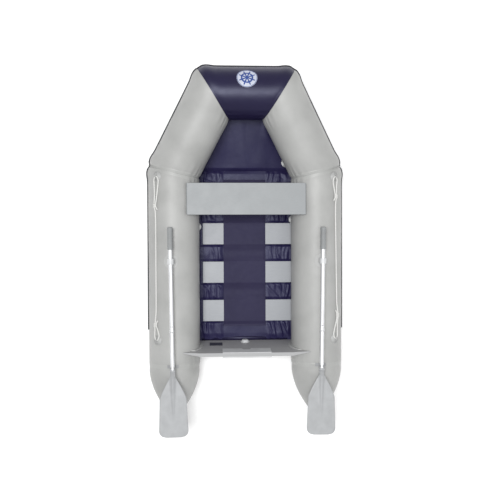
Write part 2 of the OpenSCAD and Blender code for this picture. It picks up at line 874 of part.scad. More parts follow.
// Snap clip on the tube that holds the stowed shaft
module oar_clip() {
    mouth = 20;
    clip_r = shaft_r + gap;
    color(DARK_GREY) {
        difference() {
            oar_frame() translate([0, -clip_reach, 0]) {
                cylinder_y(clip_r + clip_wall, -clip_l / 2, clip_l / 2);
                translate([-9, 1 - clip_l / 2, -shaft_h - 10])
                    cube([18, clip_l - 2, shaft_h + 9 - clip_r]);
            }
            oar_frame() translate([0, -clip_reach, 0]) {
                cylinder_y(clip_r, -clip_l, clip_l);
                translate([-mouth / 2, -clip_l, 0]) cube([mouth, 2 * clip_l, 40]);
            }
            tube_frame(SIDE) cylinder_y(tube_r + patch_t / 2, -tail_straight, side_l);
        }
        patch_on(SIDE, patch_t) oar_frame()
            translate([-clip_foot_w / 2, -clip_reach - clip_foot_l / 2, -shaft_h - tube_r])
                cube([clip_foot_w, clip_foot_l, tube_r + 10]);
    }
}

// ---------- The object ----------

in_place() port() side_tube(port_valve_y);  // port_side_tube
in_place() side_tube(starboard_valve_y);  // starboard_side_tube
in_place() port_bow_tube();
in_place() starboard_bow_tube();
in_place() nose_tube();
in_place() air_baffles();
in_place() port() tail_cone();  // port_tail_cone
in_place() tail_cone();  // starboard_tail_cone
in_place() both_sides() tail_end_cap();  // tail_end_caps
in_place() rub_strake();
in_place() floor_fabric();
in_place() bow_floor_fabric();
in_place() floor_slat(1);  // floor_slat_1
in_place() floor_slat(2);  // floor_slat_2
in_place() floor_slat(3);  // floor_slat_3
in_place() floor_slat(4);  // floor_slat_4
in_place() slat_sleeve();
in_place() floor_seam_strip();
in_place() transom_board();
in_place() inner_motor_pad();
in_place() outer_motor_pad();
in_place() transom_holders();
in_place() drain_body();
in_place() drain_cap();
in_place() blank_plate();
in_place() seat_board();
in_place() seat_holders();
in_place() bow_emblem();
in_place() lifeline_patches();
in_place() port() rope(PORT_ROUTE);  // port_lifeline
in_place() rope(STARBOARD_ROUTE);  // starboard_lifeline
in_place() lifeline_knots();
in_place() valve_bodies();
in_place() port() valve_cap(SIDE, port_valve_y);  // port_valve_cap
in_place() valve_cap(SIDE, starboard_valve_y);  // starboard_valve_cap
in_place() valve_cap(BOW, bow_valve_y);  // bow_valve_cap
in_place() port() valve_poppet(SIDE, port_valve_y);  // port_valve_poppet
in_place() valve_poppet(SIDE, starboard_valve_y);  // starboard_valve_poppet
in_place() valve_poppet(BOW, bow_valve_y);  // bow_valve_poppet
in_place() tow_patch();
in_place() tow_ring();
in_place() port() rowlock_base();  // port_rowlock_base
in_place() port() rowlock_swivel();  // port_rowlock_swivel
in_place() port() oar_collar();  // port_oar_collar
in_place() port() oar_upper_shaft();  // port_oar_upper_shaft
in_place() port() oar_lower_shaft();  // port_oar_lower_shaft
in_place() port() oar_button();  // port_oar_button
in_place() port() oar_grip();  // port_oar_grip
in_place() port() oar_blade();  // port_oar_blade
in_place() port() oar_clip();  // port_oar_clip
in_place() rowlock_base();  // starboard_rowlock_base
in_place() rowlock_swivel();  // starboard_rowlock_swivel
in_place() oar_collar();  // starboard_oar_collar
in_place() oar_upper_shaft();  // starboard_oar_upper_shaft
in_place() oar_lower_shaft();  // starboard_oar_lower_shaft
in_place() oar_button();  // starboard_oar_button
in_place() oar_grip();  // starboard_oar_grip
in_place() oar_blade();  // starboard_oar_blade
in_place() oar_clip();  // starboard_oar_clip
in_place() rowlock_hinge_pins();
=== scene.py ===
import math

import bpy
from mathutils import Euler, Matrix, Vector, noise


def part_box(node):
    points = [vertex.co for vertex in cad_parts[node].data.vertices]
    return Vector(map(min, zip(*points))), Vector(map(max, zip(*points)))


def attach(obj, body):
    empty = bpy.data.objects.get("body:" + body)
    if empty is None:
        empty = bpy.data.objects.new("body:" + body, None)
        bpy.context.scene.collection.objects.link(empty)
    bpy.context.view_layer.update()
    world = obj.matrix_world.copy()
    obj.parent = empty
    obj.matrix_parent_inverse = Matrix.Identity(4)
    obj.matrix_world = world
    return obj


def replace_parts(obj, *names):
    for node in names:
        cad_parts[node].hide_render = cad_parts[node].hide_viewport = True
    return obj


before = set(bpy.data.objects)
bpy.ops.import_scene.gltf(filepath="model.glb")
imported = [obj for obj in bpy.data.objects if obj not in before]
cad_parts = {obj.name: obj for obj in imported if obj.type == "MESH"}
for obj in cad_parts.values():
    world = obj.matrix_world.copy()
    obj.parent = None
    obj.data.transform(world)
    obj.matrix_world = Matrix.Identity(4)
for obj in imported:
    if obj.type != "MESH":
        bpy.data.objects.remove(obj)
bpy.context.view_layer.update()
SIDES = {"port": -1, "starboard": 1}

# ---------- Places, read from the CAD parts or given, in metres ---


def middle(node):
    """The middle of a CAD node's box."""
    low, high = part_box(node)
    return (low + high) / 2


tube_low, tube_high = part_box("starboard_side_tube")
TUBE_R = (tube_high.x - tube_low.x) / 2
SIDE_X = (tube_high.x + tube_low.x) / 2
FOOT_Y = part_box("transom_board")[1].y
SIDE_LENGTH = 1.195      # transom foot to bow bend
NOSE_WIDTH = 0.437       # nose tube's axis between its corners
BEND = Vector((SIDE_X, FOOT_Y + SIDE_LENGTH, TUBE_R))
CORNER = Vector((NOSE_WIDTH / 2, middle("nose_tube").y, middle("nose_tube").z))
TAIL_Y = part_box("port_tail_cone")[1].y
TAIL_TIP_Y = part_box("port_tail_cone")[0].y
TAIL_TIP_R = 0.030
FLOOR_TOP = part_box("floor_fabric")[1].z
SLATS = [f"floor_slat_{n}" for n in (1, 2, 3, 4)]

ALONG_SIDE = Vector((0, 1, 0))
ALONG_BOW = (CORNER - BEND).normalized()
ALONG_NOSE = Vector((-1, 0, 0))
BEND_N = (ALONG_SIDE + ALONG_BOW).normalized()
CORNER_N = (ALONG_BOW + ALONG_NOSE).normalized()


def reflected(direction, normal):
    return direction - 2 * direction.dot(normal) * normal


OUT_SIDE = Vector((1, 0, 0))
OUT_BOW = reflected(OUT_SIDE, BEND_N)
OUT_NOSE = reflected(OUT_BOW, CORNER_N)


class Tube:
    """A straight tube: a point of its axis, its direction, and the direction outboard of it."""

    def __init__(self, origin, along, out):
        self.origin = origin
        self.along = along
        self.out = out
        self.up = out.cross(along)

    def radial(self, angle):
        """Outward from the axis, at an angle from the top, positive outboard."""
        return math.sin(angle) * self.out + math.cos(angle) * self.up

    def point(self, along, angle, height=0.0):
        """A point on the skin, or over it."""
        return self.origin + along * self.along + (TUBE_R + height) * self.radial(angle)

    def reach(self, angle, plane):
        """How far along the tube its skin meets a plane, at an angle."""
        at, normal = plane
        start = self.point(0, angle)
        return (at - start).dot(normal) / self.along.dot(normal)


SIDE = Tube(Vector((SIDE_X, FOOT_Y, TUBE_R)), ALONG_SIDE, OUT_SIDE)
BOW = Tube(BEND, ALONG_BOW, OUT_BOW)
NOSE = Tube(CORNER, ALONG_NOSE, OUT_NOSE)
TAIL_PLANE = (Vector((0, TAIL_Y, 0)), ALONG_SIDE)
BEND_PLANE = (BEND, BEND_N)
CORNER_PLANE = (CORNER, CORNER_N)
FAR_CORNER_PLANE = (Vector((-CORNER.x, CORNER.y, CORNER.z)), Vector((CORNER_N.x, -CORNER_N.y, -CORNER_N.z)))

# ---------- Camera ----------


def make_camera():
    data = bpy.data.cameras.new("camera")
    data.lens = 48.5
    camera = bpy.data.objects.new("camera", data)
    camera.location = (-0.2364, 0.0704, 4.865)
    camera.rotation_euler = Euler((-0.01542, -0.05718, -0.00389))
    bpy.context.scene.collection.objects.link(camera)
    bpy.context.scene.camera = camera


make_camera()

# ---------- Materials ----------


class Shader:
    """A node material being built, with its Principled shader."""

    def __init__(self, name, colour, roughness, **sockets):
        self.material = bpy.data.materials.new(name)
        self.material.use_nodes = True
        self.nodes = self.material.node_tree.nodes
        self.links = self.material.node_tree.links
        self.shader = self.nodes["Principled BSDF"]
        self.shader.inputs["Base Color"].default_value = (*colour, 1)
        self.shader.inputs["Roughness"].default_value = roughness
        for label, value in sockets.items():
            self.shader.inputs[label.replace("_", " ")].default_value = value
        self.place = self.nodes.new("ShaderNodeTexCoord").outputs["Object"]
        self.bump_end = None

    def node(self, kind, **values):
        made = self.nodes.new(kind)
        for label, value in values.items():
            made.inputs[label.replace("_", " ")].default_value = value
        return made

    def scaled(self, scale, turn=(0, 0, 0)):
        """The object's own coordinates, stretched and turned."""
        mapping = self.nodes.new("ShaderNodeMapping")
        mapping.inputs["Scale"].default_value = scale
        mapping.inputs["Rotation"].default_value = turn
        self.links.new(self.place, mapping.inputs["Vector"])
        return mapping.outputs["Vector"]

    def noise(self, scale, detail=3.0, stretch=(1, 1, 1), roughness=0.5):
        made = self.node("ShaderNodeTexNoise", Scale=scale, Detail=detail, Roughness=roughness)
        self.links.new(self.scaled(stretch), made.inputs["Vector"])
        return made.outputs["Fac"]

    def wave(self, scale, direction, distortion=0.0):
        made = self.node("ShaderNodeTexWave", Scale=scale, Distortion=distortion)
        made.bands_direction = direction
        self.links.new(self.place, made.inputs["Vector"])
        return made.outputs["Fac"]

    def math(self, operation, first, second):
        made = self.nodes.new("ShaderNodeMath")
        made.operation = operation
        for socket, value in zip(made.inputs, (first, second)):
            if isinstance(value, (int, float)):
                socket.default_value = value
            else:
                self.links.new(value, socket)
        return made.outputs[0]

    def ramp(self, source, stops):
        made = self.nodes.new("ShaderNodeValToRGB")
        elements = made.color_ramp.elements
        while len(elements) < len(stops):
            elements.new(0.5)
        for element, (position, colour) in zip(elements, stops):
            element.position = position
            element.color = (*colour, 1)
        self.links.new(source, made.inputs["Fac"])
        return made.outputs["Color"]

    def colour(self, source, stops):
        self.links.new(self.ramp(source, stops), self.shader.inputs["Base Color"])

    def roughness(self, source, low, high):
        spread = self.nodes.new("ShaderNodeMapRange")
        spread.inputs["To Min"].default_value = low
        spread.inputs["To Max"].default_value = high
        self.links.new(source, spread.inputs["Value"])
        self.links.new(spread.outputs["Result"], self.shader.inputs["Roughness"])

    def bump(self, source, strength, distance):
        made = self.node("ShaderNodeBump", Strength=strength, Distance=distance)
        self.links.new(source, made.inputs["Height"])
        if self.bump_end:
            self.links.new(self.bump_end, made.inputs["Normal"])
        self.bump_end = made.outputs["Normal"]
        self.links.new(self.bump_end, self.shader.inputs["Normal"])


def shade(colour, factor):
    return tuple(min(1.0, c * factor) for c in colour)


def coated_fabric(name, colour, roughness, weave=0.35, slack=0.2, **sockets):
    """PVC-coated cloth: a fine weave pressed through a smooth coat, faint scuffs and slack."""
    made = Shader(name, colour, roughness, **sockets)
    patches = made.noise(5.0, 5.0)
    made.colour(patches, [(0.3, shade(colour, 0.90)), (0.5, colour), (0.72, shade(colour, 1.07))])
    made.roughness(made.noise(34.0, 6.0), roughness - 0.07, roughness + 0.09)
    threads = made.math("ADD", made.wave(190.0, "X"), made.wave(190.0, "Y"))
    made.bump(made.math("ADD", threads, made.wave(190.0, "Z")), weave, 0.0002)
    made.bump(made.noise(9.0, 3.0), slack, 0.006)
    return made.material


def painted_board(name, colour, roughness=0.45):
    """Plywood under paint: raised grain along the board, small specks and rubbed patches."""
    made = Shader(name, colour, roughness, Specular_IOR_Level=0.45)
    grain = made.noise(26.0, 8.0, stretch=(1.2, 14.0, 14.0), roughness=0.65)
    made.colour(grain, [(0.32, shade(colour, 0.93)), (0.55, colour), (0.75, shade(colour, 1.05))])
    made.roughness(made.noise(12.0, 5.0), roughness - 0.08, roughness + 0.12)
    made.bump(grain, 0.25, 0.0006)
    made.bump(made.noise(420.0, 2.0), 0.12, 0.0003)
    return made.material


TOP_LIGHT_FACING = (0.75, 0.93)      # how far up a face has to look to count as an upward edge, which takes the painted highlight


def top_lit_board(name, colour, bare_and_top_light):
    """A painted board whose upward edges take a lighter colour: a painted highlight for the light from
    above.
    """
    factor, first, second, result = 0, 6, 7, 2      # a colour Mix node's sockets
    material = painted_board(name, colour)
    nodes, links = material.node_tree.nodes, material.node_tree.links
    shader = nodes["Principled BSDF"]
    paint = shader.inputs["Base Color"].links[0].from_socket
    facing = nodes.new("ShaderNodeSeparateXYZ")
    links.new(nodes.new("ShaderNodeTexCoord").outputs["Normal"], facing.inputs["Vector"])
    spread = nodes.new("ShaderNodeMapRange")
    spread.inputs["From Min"].default_value, spread.inputs["From Max"].default_value = TOP_LIGHT_FACING
    links.new(facing.outputs["Z"], spread.inputs["Value"])
    blend = nodes.new("ShaderNodeMix")
    blend.data_type = "RGBA"
    # painted highlight: faces that look upward blend towards this lighter colour
    blend.inputs[second].default_value = (*bare_and_top_light, 1)
    links.new(spread.outputs["Result"], blend.inputs[factor])
    links.new(paint, blend.inputs[first])
    links.new(blend.outputs[result], shader.inputs["Base Color"])
    return material


def moulded(name, colour, roughness=0.42, grain=0.2, **sockets):
    """Moulded plastic or rubber with a spark-eroded grain."""
    made = Shader(name, colour, roughness, **sockets)
    made.colour(made.noise(18.0, 4.0), [(0.3, shade(colour, 0.92)), (0.7, shade(colour, 1.06))])
    made.roughness(made.noise(60.0, 4.0), roughness - 0.06, roughness + 0.08)
    made.bump(made.noise(900.0, 3.0), grain, 0.0003)
    return made.material


def brushed(name, colour, roughness, stretch, metallic=1.0):
    """Drawn or brushed metal, with its lines along one axis."""
    made = Shader(name, colour, roughness, Metallic=metallic)
    lines = made.noise(140.0, 4.0, stretch=stretch)
    made.colour(lines, [(0.3, shade(colour, 0.88)), (0.7, colour)])
    made.roughness(lines, roughness - 0.08, roughness + 0.12)
    made.bump(lines, 0.12, 0.0002)
    return made.material


def twisted_rope(name, colour):
    """Yarns of a laid rope, with painted shade: the colour darkens where the fibre bump sinks into the
    grooves.
    """
    made = Shader(name, colour, 0.75, Sheen_Weight=0.25)
    fibres = made.noise(700.0, 3.0, stretch=(1.0, 0.25, 1.0))
    # painted shade: the sunken fibres take the darker colour
    made.colour(fibres, [(0.3, shade(colour, 0.72)), (0.65, colour)])
    made.bump(fibres, 0.5, 0.0008)
    return made.material


GREY = (0.395, 0.398, 0.39)
NAVY = (0.012, 0.009, 0.036)
FLOOR_NAVY = (0.015, 0.012, 0.050)
SLEEVE_NAVY = (0.025, 0.021, 0.054)
BLUE_SHEEN = (0.76, 0.80, 1.0, 1.0)
LOOKS = {
    "tube_skin": coated_fabric("tube_skin", GREY, 0.42, 0.25, 0.12, Specular_IOR_Level=0.4),
    "seam_tape": coated_fabric("seam_tape", (0.405, 0.41, 0.40), 0.38, 0.15, 0.05),
    "nose_skin": coated_fabric("nose_skin", NAVY, 0.36, 0.3, 0.15,
                               Specular_Tint=BLUE_SHEEN, Specular_IOR_Level=0.50),
    "floor_skin": coated_fabric("floor_skin", FLOOR_NAVY, 0.36, 0.25, 0.3,
                                Specular_Tint=BLUE_SHEEN, Specular_IOR_Level=0.28),
    "sleeve_skin": coated_fabric("sleeve_skin", SLEEVE_NAVY, 0.5, 0.35, 0.3,
                                 Specular_Tint=BLUE_SHEEN, Specular_IOR_Level=0.2),
    "slat": painted_board("slat", (0.35, 0.365, 0.39)),
    "seat": painted_board("seat", (0.29, 0.305, 0.315)),
    # the transom's upward edges carry a painted highlight, its second colour
    "transom": top_lit_board("transom", (0.40, 0.40, 0.405), (0.40, 0.405, 0.41)),
    "motor_pad": moulded("motor_pad", (0.62, 0.63, 0.635)),
    "strake": moulded("strake", (0.022, 0.022, 0.028), 0.5, 0.3),
    "fitting": moulded("fitting", (0.42, 0.425, 0.42), 0.5, 0.35),
    "rope": twisted_rope("rope", (0.78, 0.78, 0.76)),
    "valve": moulded("valve", (0.62, 0.63, 0.64), 0.35),
    "shaft": brushed("shaft", (0.86, 0.87, 0.885), 0.46, (1.0, 0.06, 1.0), 0.7),
    "blade": moulded("blade", (0.39, 0.40, 0.41), 0.40, 0.15),
    "grip": moulded("grip", (0.27, 0.28, 0.285), 0.62, 0.5),
    "dark_plastic": moulded("dark_plastic", (0.035, 0.035, 0.045), 0.4),
    "clip": moulded("clip", (0.30, 0.305, 0.315), 0.45),
    "steel": brushed("steel", (0.74, 0.74, 0.75), 0.2, (1.0, 1.0, 0.1)),
    "emblem": moulded("emblem", (0.56, 0.59, 0.69), 0.3, 0.05, Coat_Weight=0.3),
    "emblem_blue": moulded("emblem_blue", (0.03, 0.07, 0.27), 0.3, 0.05, Coat_Weight=0.3),
    "plate": moulded("plate", (0.045, 0.045, 0.052), 0.35),
}

# ---------- Mesh helpers ----------

WELD_REACH = 0.00002
TIP_R = 0.0002           # a turned piece closes this far from its axis


def add_mesh(name, points, faces, look, body="hull", smooth=True):
    """A new piece from points and faces, finished, and riding on a body."""
    mesh = bpy.data.meshes.new(name)
    mesh.from_pydata([tuple(p) for p in points], [], faces)
    mesh.polygons.foreach_set("use_smooth", [smooth] * len(mesh.polygons))
    mesh.update()
    made = bpy.data.objects.new(name, mesh)
    bpy.context.scene.collection.objects.link(made)
    made.data.materials.append(LOOKS[look])
    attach(made, body)
    return made


def grid_faces(rows, columns, wrap=False):
    """Quads between rows of points; wrap joins the last column to the first."""
    faces = []
    for i in range(rows - 1):
        near, far = i * columns, (i + 1) * columns
        for k in range(columns if wrap else columns - 1):
            right = (k + 1) % columns
            faces.append((near + k, near + right, far + right, far + k))
    return faces


def mirrored(points, side):
    return [Vector((p.x * side, p.y, p.z)) for p in points]


def oriented(faces, side):
    """Faces keep their outside when their points are mirrored to port."""
    return faces if side > 0 else [tuple(reversed(f)) for f in faces]


def lathe(name, profile, place, look, body, segments=48):
    """A turned piece: profile is (distance along, radius), turned about its local Y axis."""
    points = []
    for along, radius in profile:
        for k in range(segments):
            angle = math.tau * k / segments
            points.append(place @ Vector((radius * math.cos(angle), along, radius * math.sin(angle))))
    return add_mesh(name, points, oriented(grid_faces(len(profile), segments, True), -1), look, body)


def dress(node, look, bevel=0.0, smooth_angle=35):
    """A carried-over CAD node: welded, its edges eased, and finished."""
    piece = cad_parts[node]
    if "custom_normal" in piece.data.attributes:
        piece.data.attributes.remove(piece.data.attributes["custom_normal"])
    piece.data.materials.clear()
    piece.data.materials.append(LOOKS[look])
    weld = piece.modifiers.new("weld", "WELD")
    weld.merge_threshold = WELD_REACH
    if bevel:
        ease = piece.modifiers.new("ease", "BEVEL")
        ease.width = bevel
        ease.segments = 3
        ease.limit_method = "ANGLE"
        ease.angle_limit = math.radians(smooth_angle)
        ease.harden_normals = False
        normals = piece.modifiers.new("normals", "WEIGHTED_NORMAL")
        normals.keep_sharp = True
    piece.data.polygons.foreach_set("use_smooth", [True] * len(piece.data.polygons))
    piece.data.set_sharp_from_angle(angle=math.radians(smooth_angle))


# ---------- Air tubes ----------

AROUND = 144                          # points round a tube
CROWDED_SIDE = math.radians(-90)      # the inboard side, where a mitre crowds the fabric
LENGTHWISE_SEAM = math.radians(205)   # under the tube
SEAM_PULL, SEAM_REACH = 0.0035, 0.028
PLEAT_HEIGHT, PLEAT_REACH = 0.0030, 0.075
CORNER_CUT, CORNER_REACH = 0.014, 0.017
CORNER_SWELL, SWELL_AT, SWELL_REACH = 0.006, 0.06, 0.035
SKIN_RIPPLE = 0.0016
TAPE_THICK = 0.0011
LONG_TAPE_THICK, LONG_TAPE_WIDTH = 0.0010, 0.034
TAPE_TUCK = 0.0018                    # how far its edge rows turn down
TAIL_GORES = 8


def seam_dip(distance):
    """How a glued seam pulls the skin in, close to it."""
    return -SEAM_PULL * math.exp(-(distance / SEAM_REACH) ** 2)


def pucker(angle, distance):
    """Small pleats beside a mitre, on the side where the fabric is crowded."""
    crowd = max(0.0, math.cos(angle - CROWDED_SIDE)) ** 2
    fade = math.exp(-(distance / PLEAT_REACH) ** 2) * (1 - math.exp(-(distance / 0.012) ** 2))
    return PLEAT_HEIGHT * crowd * fade * math.sin(26 * angle + 1.3 * math.sin(5 * angle))


def corner_form(angle, distance):
    """Air pressure rounds off the outer corner of a mitre, and swells the tube just beside it."""
    outer = max(0.0, math.sin(angle)) ** 1.5
    rounding = -CORNER_CUT * math.exp(-(distance / CORNER_REACH) ** 2)
    swell = CORNER_SWELL * math.exp(-((distance - SWELL_AT) / SWELL_REACH) ** 2)
    return outer * (rounding + swell)


def skin_height(tube, along, angle, low, high):
    """How far the skin stands off the round tube, between two seams."""
    to_low, to_high = along - low, high - along
    corners = corner_form(angle, to_high)
    if tube is not SIDE:
        corners += corner_form(angle, to_low)
    height = seam_dip(to_low) + seam_dip(to_high)
    height += pucker(angle, to_low) + pucker(angle, to_high)
    spot = tube.point(along, angle)
    edge = min(1.0, max(0.0, min(to_low, to_high) / 0.05))
    return height + corners + SKIN_RIPPLE * edge * noise.noise(spot * 5.0)


def tube_points(tube, low_plane, high_plane, rings, around, lift=0.0, span=None):
    """Rows of points over a tube between two planes, or over a span of angles."""
    start, stop = span or (0, math.tau)
    count = around if span is None else around - 1
    points = []
    for i in range(rings):
        share = 0.5 - 0.5 * math.cos(math.pi * i / (rings - 1))
        for k in range(around):
            angle = start + (stop - start) * k / count
            low, high = tube.reach(angle, low_plane), tube.reach(angle, high_plane)
            along = low + (high - low) * share
            points.append(tube.point(along, angle, lift + skin_height(tube, along, angle, low, high)))
    return points


def tube_piece(name, tube, low_plane, high_plane, look, side=1, rings=110):
    points = mirrored(tube_points(tube, low_plane, high_plane, rings, AROUND), side)
    return add_mesh(name, points, oriented(grid_faces(rings, AROUND, True), side), look)


def ring_tape(name, tube, plane, look, side=1, reach=0.022, towards=1):
    """Half of the tape over a seam: the strip of one tube next to a plane."""
    rows = 7
    points = []
    for i in range(rows):
        share = i / (rows - 1)
        height = TAPE_THICK if share < 0.9 else -0.0006      # the last row turns down into the skin
        for k in range(AROUND):
            angle = math.tau * k / AROUND
            seam = tube.reach(angle, plane)
            along = seam + towards * reach * share
            away = abs(along - seam)
            dip = seam_dip(away) + pucker(angle, away)
            if plane is not TAIL_PLANE:
                dip += corner_form(angle, away)
            points.append(tube.point(along, angle, height + dip))
    faces = oriented(grid_faces(rows, AROUND, True), side * towards)
    add_mesh(name, mirrored(points, side), faces, look)


def long_tape(name, tube, low_plane, high_plane, side):
    """Tape over the lengthwise seam of a tube, its edges turned down into the skin."""
    half = LONG_TAPE_WIDTH / 2 / TUBE_R
    rings, across = 60, 7
    span = (LENGTHWISE_SEAM - half, LENGTHWISE_SEAM + half)
    points = tube_points(tube, low_plane, high_plane, rings, across, LONG_TAPE_THICK, span)
    for i in range(rings):
        for k in (0, across - 1):
            spot = points[i * across + k]
            axis = tube.origin + tube.along * (spot - tube.origin).dot(tube.along)
            points[i * across + k] = spot - (spot - axis).normalized() * TAPE_TUCK
    add_mesh(name, mirrored(points, side), oriented(grid_faces(rings, across), side), "seam_tape")


def tail_radius(share):
    return TUBE_R - (TUBE_R - TAIL_TIP_R) * share * share


def tail_cone(name, side):
    """The tapering end of a side tube, cut from gores whose seams draw it in a little."""
    length = TAIL_Y - TAIL_TIP_Y
    rings = 60
    points = []
    for i in range(rings):
        share = (i / (rings - 1)) ** 0.85
        for k in range(AROUND):
            angle = math.tau * k / AROUND
            seam = abs(math.sin(TAIL_GORES * angle / 2)) ** 0.5 - 1
            height = 0.0016 * seam * min(1, 6 * share) + seam_dip(share * length)
            height += 0.0012 * math.sin(22 * angle) * math.exp(-((1 - share) / 0.16) ** 2)
            radius = tail_radius(share) + height - TUBE_R
            points.append(SIDE.point(TAIL_Y - FOOT_Y - share * length, angle, radius))
    faces = oriented(grid_faces(rings, AROUND, True), -side)
    return add_mesh(name, mirrored(points, side), faces, "tube_skin")


def tail_cap(side, name):
    """The moulded cap at the tip of a tail, with a stepped, rounded nose."""
    place = Matrix.Translation((side * SIDE_X, TAIL_TIP_Y, TUBE_R))
    low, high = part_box("tail_end_caps")
    rim = (high.z - low.z) / 2
    profile = [(0.016, rim - 0.006), (0.012, rim - 0.001), (0.004, rim), (-0.001, rim),
               (-0.0035, rim - 0.0025), (-0.0042, rim - 0.007), (-0.0036, rim - 0.011),
               (-0.0052, rim - 0.014), (-0.006, 0.006), (-0.006, TIP_R)]
    return lathe(name, profile, place, "fitting", "hull", 64)


def build_tubes():
    for word, side in SIDES.items():
        side_skin = tube_piece(f"{word}_side_skin", SIDE, TAIL_PLANE, BEND_PLANE, "tube_skin", side, 130)
        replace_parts(side_skin, f"{word}_side_tube")
        bow_skin = tube_piece(f"{word}_bow_skin", BOW, BEND_PLANE, CORNER_PLANE, "tube_skin", side)
        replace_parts(bow_skin, f"{word}_bow_tube")
        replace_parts(tail_cone(f"{word}_tail_skin", side), f"{word}_tail_cone")
        ring_tape(f"{word}_bend_tape_aft", SIDE, BEND_PLANE, "seam_tape", side, towards=-1)
        ring_tape(f"{word}_bend_tape_fore", BOW, BEND_PLANE, "seam_tape", side)
        ring_tape(f"{word}_tail_tape", SIDE, TAIL_PLANE, "seam_tape", side, reach=0.03)
        long_tape(f"{word}_side_seam", SIDE, TAIL_PLANE, BEND_PLANE, side)
        long_tape(f"{word}_bow_seam", BOW, BEND_PLANE, CORNER_PLANE, side)
    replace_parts(tail_cap(-1, "port_tail_cap"), "tail_end_caps")
    tail_cap(1, "starboard_tail_cap")
    nose = tube_piece("nose_skin_piece", NOSE, CORNER_PLANE, FAR_CORNER_PLANE, "nose_skin")
    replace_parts(nose, "nose_tube")
    ring_tape("nose_tape_starboard", NOSE, CORNER_PLANE, "nose_skin", reach=0.018)
    ring_tape("nose_tape_port", NOSE, CORNER_PLANE, "nose_skin", -1, reach=0.018)
    dress("air_baffles", "tube_skin")


# ---------- Rub strake ----------

STRAKE_HALF = 0.015      # half its height
STRAKE_START = 0.105     # its aft end, forward of the transom's foot


def strake_profile():
    """(height round the tube, how far it stands out): two ribs and a hollow, between thin lips."""
    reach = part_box("rub_strake")[1].x - SIDE_X - TUBE_R
    steps = 18
    profile = []
    for i in range(steps + 1):
        across = -1 + 2 * i / steps
        rib = 0.62 + 0.38 * math.cos(2.6 * math.pi * across) ** 2
        lip = min(1.0, (1 - abs(across)) * 7)
        profile.append((STRAKE_HALF * across, reach * rib * lip - 0.0006))
    return profile


def strake_run(name, tube, low_plane, high_plane, side=1, low_end=False):
    profile = strake_profile()
    rings = 70
    points = []
    for i in range(rings):
        for height, stand in profile:
            angle = math.pi / 2 - height / TUBE_R
            low, high = tube.reach(angle, low_plane), tube.reach(angle, high_plane)
            share = 0.5 - 0.5 * math.cos(math.pi * i / (rings - 1))
            along = low + (high - low) * share
            form = corner_form(math.pi / 2, high - along)
            if tube is not SIDE:
                form += corner_form(math.pi / 2, along - low)
            points.append(tube.point(along, angle, stand + form))
    faces = oriented(grid_faces(rings, len(profile)), -side)
    if low_end:
        faces.append(tuple(range(len(profile))))
    return add_mesh(name, mirrored(points, side), faces, "strake")


def build_strake():
    start_plane = (Vector((0, FOOT_Y + STRAKE_START, 0)), ALONG_SIDE)
    for word, side in SIDES.items():
        run = strake_run(f"{word}_side_strake", SIDE, start_plane, BEND_PLANE, side, low_end=True)
        strake_run(f"{word}_bow_strake", BOW, BEND_PLANE, CORNER_PLANE, side)
    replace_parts(run, "rub_strake")
    strake_run("nose_strake", NOSE, CORNER_PLANE, FAR_CORNER_PLANE)


# ---------- Floor ----------


def eased(share):
    """A share from 0 to 1 that starts and stops gently."""
    return share * share * (3 - 2 * share)


def creases(x, y, along=26.0, across=9.0, seed=0.0):
    """Long round-topped folds in slack fabric, from 0 to 1, with smooth stretches between them."""
    wander = 0.04 * noise.noise(Vector((x * 3, y * 3, seed)))
    value = noise.noise(Vector(((x + wander) * along, (y + wander) * across, seed + 3)))
    ridge = max(0.0, 1 - abs(value) * 3.2)
    here = max(0.0, min(1.0, 0.5 + 1.6 * noise.noise(Vector((x * 5, y * 4, seed + 9)))))
    return eased(ridge) * here


def slat_boxes():
    return [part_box(slat) for slat in SLATS]


def clear_of_slats(x, y, margin=0.02):
    """0 under a slat, rising to 1 away from all of them."""
    free = 1.0
    for low, high in slat_boxes():
        if low.x - margin < x < high.x + margin:
            away = max(low.y - y, y - high.y)
            free = min(free, max(0.0, min(1.0, away / margin)))
    return eased(free)


def sheet_grid(columns, rows, place):
    """Points of a sheet from place(share across, share along)."""
    return [place(k / (columns - 1), i / (rows - 1)) for i in range(rows) for k in range(columns)]


def build_floor():
    low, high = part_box("floor_fabric")
    columns, rows = 190, 300
    edge_x = high.x
    sleeve_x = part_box("slat_sleeve")[1].x

    def floor_place(across, along):
        x = -edge_x + 2 * edge_x * across
        y = low.y + (high.y - low.y) * along
        rim = min(1.0, (edge_x - abs(x)) / 0.03, (y - FOOT_Y) / 0.05, (high.y - y) / 0.02)
        free = clear_of_slats(x, y) * max(0.0, rim)
        bare_and_top_light = max(0.0, min(1.0, (abs(x) - sleeve_x) / 0.02))
        folds = bare_and_top_light * (0.006 * creases(x, y, 24.0, 4.0) + 0.005 * creases(x + y, y - x, 9.0, 5.0, 5.0))
        swell = 0.003 * (1 + noise.noise(Vector((x * 6, y * 6, 2.0))))
        return Vector((x, y, FLOOR_TOP + free * (folds + swell)))

    points = sheet_grid(columns, rows, floor_place)
    floor = add_mesh("floor_sheet", points, grid_faces(rows, columns), "floor_skin")
    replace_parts(floor, "floor_fabric")


